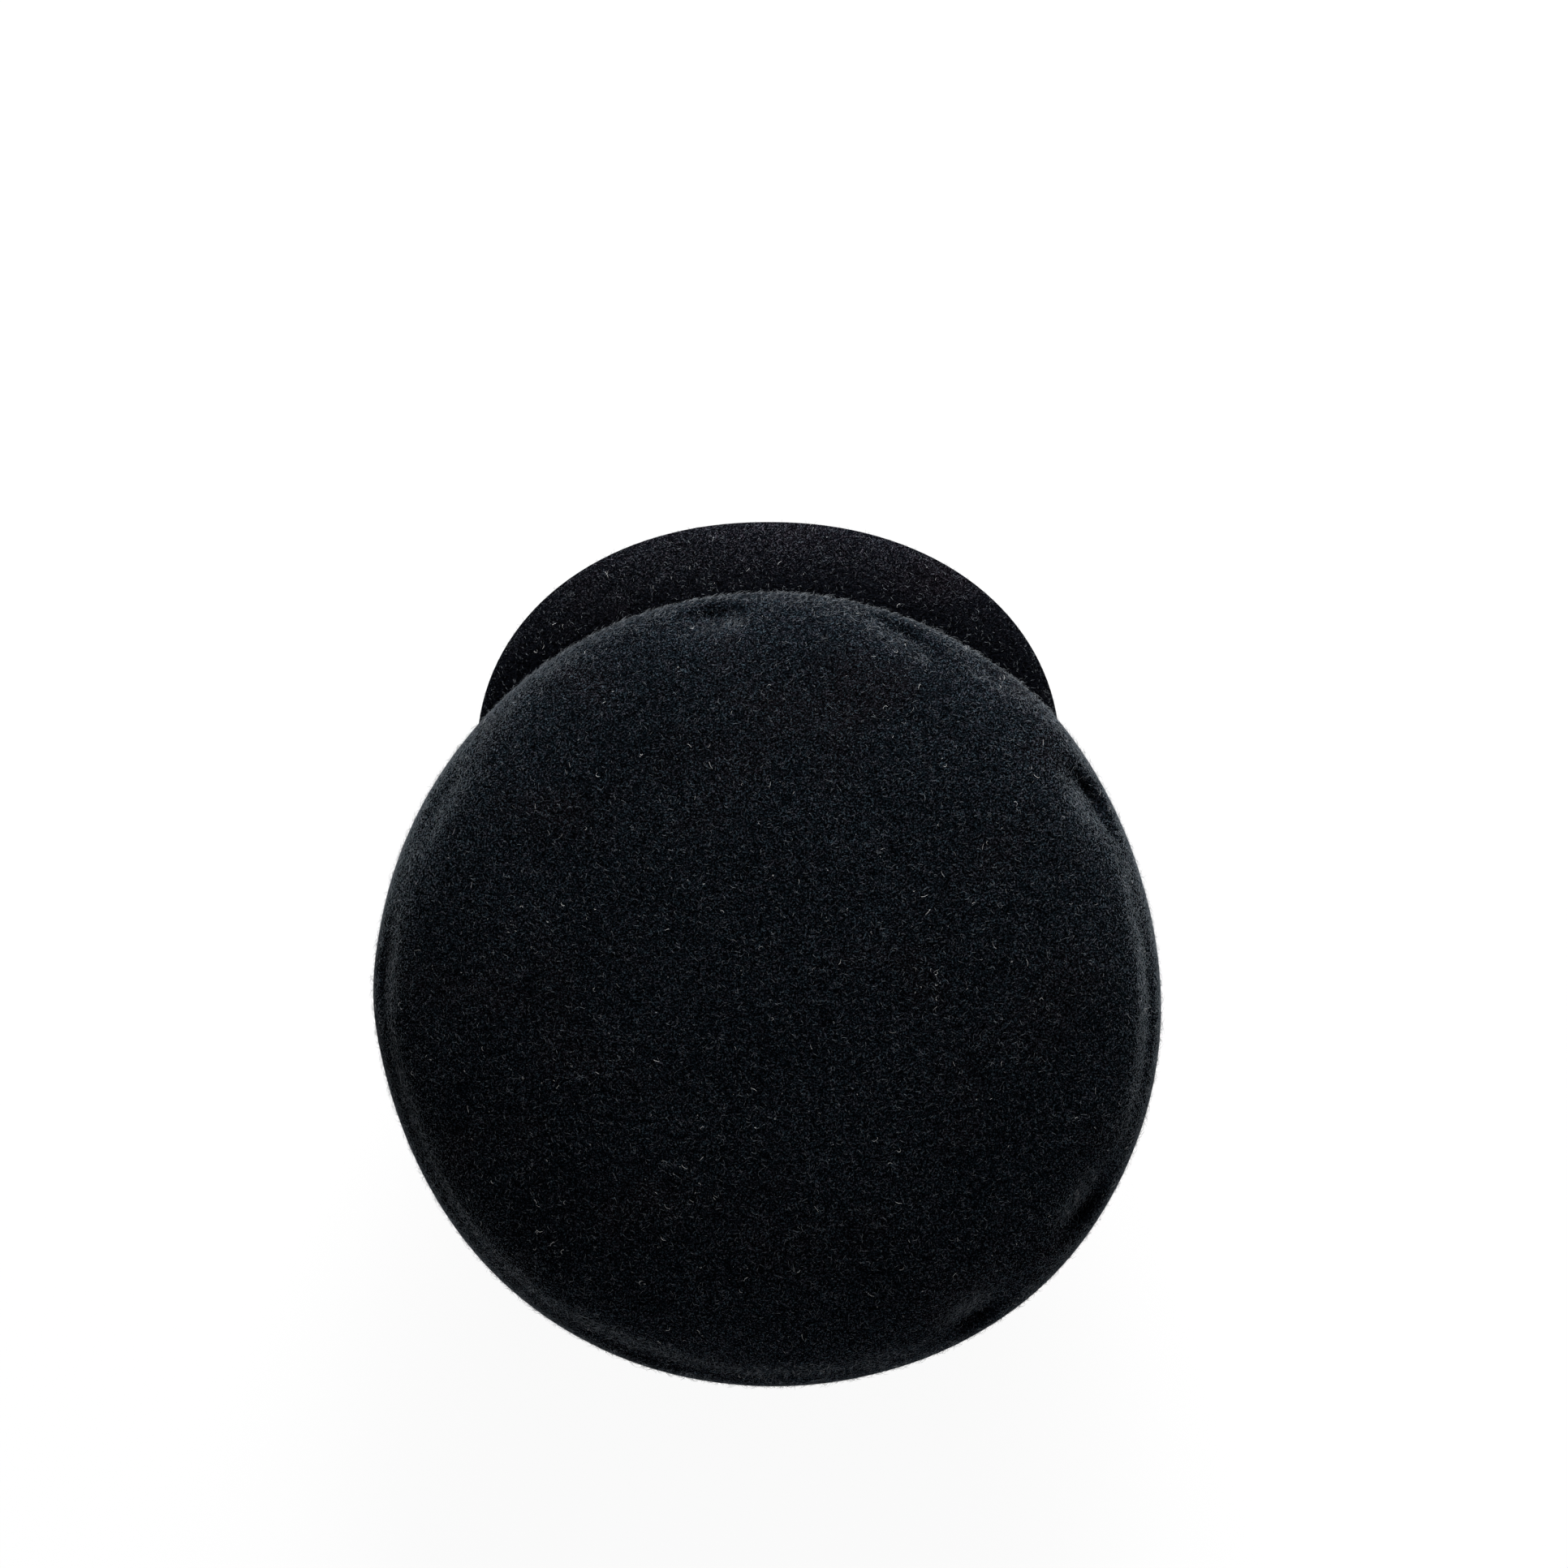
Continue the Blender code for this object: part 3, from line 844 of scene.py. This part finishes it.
def weave_look(name, dark, light, pitch):
    """Plain weave: threads that cross over and under."""
    look = Look(name)
    warp = look.wave(look.round_head(), pitch)
    weft = look.wave(look.part("Z"), pitch)
    threads = warp * weft + (1 - warp) * (1 - weft)
    uneven = look.noise(0.006, detail=3.0)
    return look.finish(
        Base_Color=look.blend(threads * (uneven + 0.4), dark, light),
        Roughness=0.85,
        Specular_IOR_Level=0.15,
        Sheen_Weight=0.08,
        Normal=look.bump(threads * 0.8 + uneven * 0.4, distance=pitch * 0.3, strength=0.8),
    )


def board_look(name, dark, light):
    """Pressed plastic board with a fine leathery grain and scuffs."""
    look = Look(name)
    grain = look.noise(0.0012, detail=4.0)
    scuffs = look.noise(0.014, detail=4.0, roughness=0.6)
    return look.finish(
        Base_Color=look.blend(grain * 0.5 + scuffs * 0.5, dark, light),
        Roughness=0.50 + scuffs * 0.2,
        Specular_IOR_Level=0.35,
        Normal=look.bump(grain, distance=0.0002, strength=0.5),
    )


# Materials
FELT = felt_look(
    "black_wool_felt",
    gap=(0.0002, 0.0002, 0.0003),
    wool=(0.0010, 0.0016, 0.0024),
    warm_wool=(0.0020, 0.0017, 0.0022),
    hair=(0.0218, 0.0316, 0.0402),
    warm_hair=(0.0270, 0.0276, 0.0355),
    sheen=0.18,
)
VISOR_FELT_LOOK = felt_look(
    "black_visor_felt",
    gap=(0.0004, 0.0004, 0.0006),
    wool=(0.0014, 0.0017, 0.0026),
    warm_wool=(0.0024, 0.0020, 0.0027),
    hair=(0.0310, 0.0350, 0.0430),
    warm_hair=(0.0370, 0.0335, 0.0415),
    sheen=0.10,
    # Painted shade on the visor next to the crown and towards its sides.
    painted_crown_shade=True,
)
NAP = fibre_look("black_wool_nap", (0.002, 0.003, 0.004), (0.145, 0.159, 0.175))
LINT = fibre_look("pale_lint", (0.12, 0.12, 0.12), (0.52, 0.52, 0.52))
RIBBON = ribbon_look(
    "black_ribbed_ribbon", (0.0020, 0.0020, 0.0024), (0.016, 0.016, 0.018), pitch=0.0011)
SATIN_COLOURS = ((0.0045, 0.0045, 0.0052), (0.0130, 0.0130, 0.0145))
SATIN = satin_look("black_lining_satin", *SATIN_COLOURS, lies_flat=False)
TIP_SATIN = satin_look("black_lining_tip_satin", *SATIN_COLOURS, lies_flat=True)
TAPE = weave_look("black_cotton_tape", (0.006, 0.006, 0.0065), (0.030, 0.030, 0.032), pitch=0.0008)
BUCKRAM = weave_look("stiff_buckram", (0.16, 0.15, 0.135), (0.40, 0.39, 0.365), pitch=0.0011)
BOARD = board_look("visor_board_plastic", (0.095, 0.095, 0.10), (0.15, 0.15, 0.155))
THREAD = fibre_look("black_sewing_thread", (0.010, 0.010, 0.011), (0.034, 0.034, 0.037))


# Hairs
def add_hairs(piece, name, count, lengths, wanted, chance, body, slot):
    """Short raised hairs on the faces of a piece that are wanted."""
    points, normals = surface_points(piece, count, chance, wanted)
    paths = nap_paths(points, normals, chance, lengths)
    paths[:, :, 2] = np.maximum(paths[:, :, 2], LOWEST_HAIR)
    dress(thread_piece(name, paths, HAIR_RADII), NAP, body)


def add_lint(piece, name, count, wanted, chance, body, slot):
    """Pale dust and curly hairs that have settled on a piece."""
    points, normals = surface_points(piece, count, chance, wanted)
    dress(thread_piece(name, lint_paths(points, normals, chance), LINT_RADII), LINT, body)


def everywhere(centres, normals):
    """All of the crown, and more thickly where it slopes."""
    return 1.0 + 1.5 * (normals[:, 2] < 0.8)


def near_rim(centres, normals):
    """The steep felt round the rim, and a little way under it."""
    return np.where(normals[:, 2] < 0.72, 1.0, 0.0) * (centres[:, 2] > RIM_HEIGHT - RIM_HAIR_DEPTH)


def facing_up(centres, normals):
    return np.where(normals[:, 2] > 0.3, 1.0, 0.0)


def facing_out(centres, normals):
    """The band's outer face, and not its hem or its folded foot."""
    outwards = centres[:, :2] * normals[:, :2]
    return np.where((outwards.sum(axis=1) > 0) & (np.abs(normals[:, 2]) < 0.5), 1.0, 0.0)


def top_and_edge(centres, normals):
    """A visor cover's show face, and more thickly its front edge."""
    at_edge = (normals[:, 2] < 0.5) & (normals[:, 1] < -0.2)
    return np.where(normals[:, 2] > 0.5, 1.0, np.where(at_edge, 3.0, 0.0))


def underneath(centres, normals):
    return np.where(normals[:, 2] < -0.5, 1.0, 0.0)


# Stitches
def stitch_model(length, radius):
    """One stitch along X: a short thread, thinner at both ends."""
    drop_selection()
    bpy.ops.mesh.primitive_cylinder_add(
        vertices=6, radius=radius, depth=length * 0.5, rotation=(0.0, pi / 2, 0.0))
    stitch = bpy.context.object
    bpy.ops.object.transform_apply(location=True, rotation=True, scale=True)
    bpy.ops.object.mode_set(mode="EDIT")
    for end in (-1, 1):
        bpy.ops.mesh.select_all(action="DESELECT")
        drawn = bmesh.from_edit_mesh(stitch.data)
        for face in drawn.faces:
            face.select_set(face.normal.x * end > 0.9)
        bmesh.update_edit_mesh(stitch.data)
        step = (end * length * 0.25, 0.0, -radius * 0.8)
        bpy.ops.mesh.extrude_region_move(TRANSFORM_OT_translate={"value": step})
        bpy.ops.transform.resize(value=(1.0, 0.5, 0.5))
    bpy.ops.object.mode_set(mode="OBJECT")
    return stitch


def head_point(outwards, height, angle):
    """A point outside the head opening, lifted over the brow as the band is."""
    return np.array((
        -(OPENING_HALF_WIDTH + outwards) * sin(angle),
        -(OPENING_HALF_LENGTH + outwards) * cos(angle),
        height + float(brow_rise(height, np.array(angle))),
    ))


def stitch_row(name, outwards, height, pitch):
    """A row of stitches round the head, on the inner face of what they hold."""
    count = round(2 * pi * (OPENING_HALF_LENGTH + OPENING_HALF_WIDTH) / 2 / pitch)
    places = []
    for i in range(count):
        angle = 2 * pi * (i + 0.5) / count - pi
        origin = head_point(outwards, height, angle)
        along = head_point(outwards, height, angle + SMALL_TURN) - origin
        inwards = (sin(angle), cos(angle), 0.0)
        places.append((origin, along, inwards))
    stitches = copies_of(name, stitch_model(STITCH_LENGTH, STITCH_RADIUS), places)
    turn_faces_out(stitches)
    shade_soft(stitches, 60)
    return stitches


# Crown
def make_crown():
    crown = extrude_rings("crown_felt", crown_rows(), CROWN_STEPS, capped=True)
    subdivide(crown, 1)
    sculpt_crown(crown)
    turn_faces_out(crown)
    on_crown = (np.random.default_rng(CROWN_SEED), "cap", "crown_felt")
    add_hairs(crown, "crown_nap", CROWN_HAIRS, FELT_HAIR_LENGTHS, everywhere, *on_crown)
    add_hairs(crown, "rim_nap", RIM_HAIRS, RIM_HAIR_LENGTHS, near_rim, *on_crown)
    add_lint(crown, "crown_lint", CROWN_DUST, facing_up, *on_crown)
    add_hairs(crown, "top_nap", TOP_HAIRS, TOP_HAIR_LENGTHS, facing_up, *on_crown)
    thicken(crown, FELT_THICKNESS, -1)
    shade_soft(crown)
    return dress(crown, FELT, "cap", "crown_shell")


# Band
def ring_piece(name, profile, steps):
    """A closed ring round the head from (millimetres outwards, millimetres up) points."""
    rows = [head_row(outwards * MM, height * MM) for outwards, height in profile]
    piece = extrude_rings(name, rows, steps, closed=True)
    subdivide(piece, 1)
    raise_brow(piece)
    turn_faces_out(piece)
    shade_soft(piece)
    return piece


def sculpt_band(band):
    """Presses the back seam into the felt and leaves it slightly uneven."""
    points = points_of(band)
    angle = angle_of(points)
    reach = np.hypot(points[:, 0] / OPENING_HALF_WIDTH, points[:, 1] / OPENING_HALF_LENGTH)
    is_outer = reach > 1 + OUTER_FACE_FROM / OPENING_HALF_LENGTH
    from_seam = np.abs(turn_between(angle, 180)) * OPENING_HALF_LENGTH
    groove = SEAM_DEPTH * np.exp(-(from_seam / SEAM_HALF_WIDTH) ** 2)
    ridges = SEAM_RIDGE * np.exp(-((from_seam - SEAM_RIDGE_AT) / SEAM_RIDGE_HALF_WIDTH) ** 2)
    moved = np.where(is_outer, unevenness(points, BAND_BUMPS) - groove + ridges, 0.0)
    points[:, :2] *= (1 + moved / np.hypot(points[:, 0], points[:, 1]))[:, None]
    put_points(band, points)


def make_band():
    band = ring_piece("band_felt", BAND_PROFILE, BAND_STEPS)
    sculpt_band(band)
    on_band = (np.random.default_rng(BAND_SEED), "cap", "crown_felt")
    add_hairs(band, "band_nap", BAND_HAIRS, FELT_HAIR_LENGTHS, facing_out, *on_band)
    return dress(band, FELT, "cap", "outer_band")


def make_strip(name, node, faces, edges, look):
    """A flat ring inside the band: its faces in millimetres outwards and its edges in millimetres up."""
    inner, outer = faces
    low, high = edges
    middle = (low + high) / 2
    profile = (
        (outer, high), (outer, middle), (outer, low), (inner, low), (inner, middle), (inner, high),
    )
    piece = ring_piece(name, profile, STRIP_STEPS)
    return dress(piece, look, "cap", node)


def make_stitches(name, run):
    dress(stitch_row(name, *run), THREAD, "cap")


# Lining
def make_lining_side():
    rows = [head_row(outwards * MM, height * MM) for outwards, height in LINING_PROFILE]
    side = extrude_rings("lining_side_satin", rows, LINING_STEPS)
    subdivide(side, 1)
    points = points_of(side)
    above_ribbon = smooth_step((points[:, 2] - LINING_FREE_FROM) / LINING_FREE_FADE)
    free = above_ribbon * smooth_step((LINING_SEWN_AT - points[:, 2]) / LINING_SEWN_FADE)
    folds = unevenness(points * np.array((1.0, 1.0, FOLD_STRETCH)), LINING_FOLDS)
    points[:, :2] *= (1 + folds * free / np.hypot(points[:, 0], points[:, 1]))[:, None]
    put_points(side, points)
    turn_faces_out(side)
    thicken(side, LINING_THICKNESS, 0)
    shade_soft(side)
    return dress(side, SATIN, "cap", "lining_side")


def make_lining_tip():
    width, length, _ = head_row(TIP_OUTWARDS, 0.0)
    rows = []
    for share in TIP_SHARES:
        rows.append((width * share, length * share, TIP_HEIGHT + TIP_RISE * (1 - share ** 2)))
    tip = extrude_rings("lining_tip_satin", rows, TIP_STEPS, capped=True)
    subdivide(tip, 2)
    points = points_of(tip)
    reach = np.hypot(points[:, 0] / width, points[:, 1] / length)
    sag = unevenness(points, LINING_SAGS)
    points[:, 2] += sag * smooth_step((TIP_SEWN_SHARE - reach) / TIP_SAG_SPAN)
    put_points(tip, points)
    turn_faces_out(tip)
    thicken(tip, LINING_THICKNESS, 1)
    shade_soft(tip)
    2 * width
    2 * length
    pi * width * length
    return dress(tip, TIP_SATIN, "cap", "lining_tip")


# Visor
def cover_spread(along):
    """How far a cover is from the middle surface: half the board's room, closing up at the lip."""
    closing = np.clip((along - BOARD_LIP_SHARE) / (1 - BOARD_LIP_SHARE), 0, 1)
    return BOARD_ROOM / 2 + (SEAM_GAP / 2 - BOARD_ROOM / 2) * closing


def make_visor_cover(name, upwards, node):
    def place(across, along):
        points = visor_middle(across, along, VISOR_SEWN_GAP)
        points[:, 2] += upwards * cover_spread(along)
        return points

    cover = spread_grid(name, *VISOR_GRID, place)
    faces_up = cover.data.polygons[len(cover.data.polygons) // 2].normal.z > 0
    thicken(cover, VISOR_FELT, 1 if faces_up == (upwards > 0) else -1)
    apply_modifier(cover, "BEVEL", width=COVER_ROUNDING, segments=2, limit_method="ANGLE",
                   angle_limit=radians(50))
    turn_faces_out(cover)
    shade_soft(cover)
    return dress(cover, VISOR_FELT_LOOK, None, node)


def add_visor_hairs(top, under):
    on_visor = (np.random.default_rng(VISOR_SEED), None, "visor_felt")
    add_hairs(top, "visor_nap", VISOR_HAIRS, VISOR_HAIR_LENGTHS, top_and_edge, *on_visor)
    add_lint(top, "visor_lint", VISOR_DUST, facing_up, *on_visor)
    add_hairs(under, "visor_under_nap", VISOR_UNDER_HAIRS, VISOR_HAIR_LENGTHS, underneath, *on_visor)


def make_visor_board():
    def place(across, along):
        share = BOARD_ROOT_SHARE + (BOARD_LIP_SHARE - BOARD_ROOT_SHARE) * along
        return visor_middle(across * BOARD_SIDE_SHARE, share, VISOR_ROOT_GAP)

    board = spread_grid("visor_board_sheet", *VISOR_GRID, place)
    thicken(board, BOARD_THICKNESS, 0)
    turn_faces_out(board)
    shade_soft(board)
    return dress(board, BOARD, None, "visor_board")


# Tab over the sweatband's join
def make_join_tab():
    def place(across, along):
        angle = pi + across * TAB_WIDTH / 2 / OPENING_HALF_WIDTH
        return np.stack((
            -(OPENING_HALF_WIDTH - TAB_INSET) * np.sin(angle),
            -(OPENING_HALF_LENGTH - TAB_INSET) * np.cos(angle),
            TAB_FOOT + TAB_HEIGHT * along,
        ), axis=1)

    tab = spread_grid("join_tab_ribbon", *TAB_GRID, place)
    thicken(tab, TAB_THICKNESS, 0)
    turn_faces_out(tab)
    shade_soft(tab)
    return dress(tab, RIBBON, "cap", "sweatband_join_tab")


# Studio. The pixels are those of the photograph's frame.
PIXELS = 1932
CROWN_WIDTH_PIXELS = 967
CROWN_CENTRE_PIXEL = (946, 1219)
PIXEL_AT_RIM = 2 * RIM_HALF_WIDTH / CROWN_WIDTH_PIXELS
CAMERA_HEIGHT = 1.30
SENSOR_WIDTH = 36
NEAREST_SEEN = 0.01

# The floor glows white. Between the distances of SHADOW_REACH the glow grows to full and hides the shadow.
FLOOR_SIZE = 30.0
FLOOR_HEIGHT = -0.0003
FLOOR_COLOUR = (0.9, 0.9, 0.9)
FLOOR_GLOW = 0.93
SHADOW_REACH = (0.25, 0.90)
SKY_LIGHT = 0.26
SKY_TINT = (0.97, 0.98, 1.0)
WHITE = (1.0, 1.0, 1.0)

# Each lamp's place, size and power in watts.
LAMP_AIM = (0.0, 0.0, 0.05)
LAMPS = {
    "front_softbox": ((-0.12, -1.6, 0.36), 0.8, 125),
    "rear_fill": ((-0.35, 1.55, 0.17), 0.6, 32),
}


def hang_lamp(name, place, size, power):
    data = bpy.data.lights.new(name, "AREA")
    data.shape = "DISK"
    data.size = size
    data.energy = power
    made = bpy.data.objects.new(name, data)
    made.location = place
    made.rotation_euler = (Vector(LAMP_AIM) - Vector(place)).to_track_quat("-Z", "Y").to_euler()
    bpy.context.scene.collection.objects.link(made)


def set_camera(scene):
    """Looks straight down, with the crown where it is in the photograph."""
    scene.view_settings.view_transform = "Standard"
    centre = PIXELS / 2
    data = bpy.data.cameras.new("camera")
    data.sensor_width = SENSOR_WIDTH
    data.lens = SENSOR_WIDTH * (CAMERA_HEIGHT - RIM_HEIGHT) / (PIXELS * PIXEL_AT_RIM)
    data.clip_start = NEAREST_SEEN
    camera = bpy.data.objects.new("camera", data)
    right = (centre - CROWN_CENTRE_PIXEL[0]) * PIXEL_AT_RIM
    up = (CROWN_CENTRE_PIXEL[1] - centre) * PIXEL_AT_RIM
    camera.location = (-right, -up, CAMERA_HEIGHT)
    camera.rotation_euler = (0.0, 0.0, pi)
    scene.collection.objects.link(camera)
    scene.camera = camera


def lay_floor():
    """White paper with a faint shadow near the cap."""
    drop_selection()
    bpy.ops.mesh.primitive_plane_add(size=FLOOR_SIZE, location=(0.0, 0.0, FLOOR_HEIGHT))
    floor = bpy.context.object
    floor.name = "studio_floor"
    paper = Look("white_floor")
    paper.finish(Base_Color=FLOOR_COLOUR, Roughness=1.0)
    glow = paper.node("Emission", {}, {"Color": WHITE, "Strength": 1.0})
    from_cap = paper.node("VectorMath", {"operation": "LENGTH"}, {0: paper.place}, "Value")
    far = paper.ramp(from_cap, *SHADOW_REACH)
    glow_share = paper.seen_by_rays() * (FLOOR_GLOW + (1 - FLOOR_GLOW) * far)
    sides = {0: glow_share, 1: Value(paper, paper.shader.outputs[0]), 2: glow}
    mixed = paper.node("MixShader", {}, sides)
    paper.feed(paper.tree.nodes["Material Output"].inputs["Surface"], mixed)
    floor.data.materials.append(paper.material)


def light_sky(scene):
    """An even sky that is white where it is seen."""
    scene.world = bpy.data.worlds.new("studio")
    scene.world.use_nodes = True
    sky = Tree(scene.world.node_tree)
    back = sky.tree.nodes["Background"]
    seen = sky.seen_by_rays()
    sky.feed(back.inputs["Color"], sky.blend(seen, SKY_TINT, WHITE))
    sky.feed(back.inputs["Strength"], seen * (1 - SKY_LIGHT) + SKY_LIGHT)


# The cap, from the outside in, and then the visor and the studio
make_crown()
make_band()
make_strip("stiffener_buckram", "band_stiffener", faces=(2.3, 3.3), edges=(12.5, 22.5),
           look=BUCKRAM)
make_strip("seam_tape_cotton", "crown_seam_tape", faces=(2.3, 3.3), edges=(23.2, 37.0),
           look=TAPE)
make_strip("sweatband_ribbon", "sweatband", faces=(0.0, 1.0), edges=(2.2, 30.0),
           look=RIBBON)
make_join_tab()
make_stitches("sweatband_stitches", SWEATBAND_STITCHES)
make_lining_side()
make_lining_tip()
make_stitches("lining_seam_stitches", LINING_STITCHES)
visor_top = make_visor_cover("visor_top_felt", 1, "visor_top_cover")
make_visor_board()
visor_under = make_visor_cover("visor_under_felt", -1, "visor_under_cover")
add_visor_hairs(visor_top, visor_under)
set_camera(bpy.context.scene)
lay_floor()
light_sky(bpy.context.scene)
for lamp_name, (lamp_place, lamp_size, lamp_power) in LAMPS.items():
    hang_lamp(lamp_name, lamp_place, lamp_size, lamp_power)
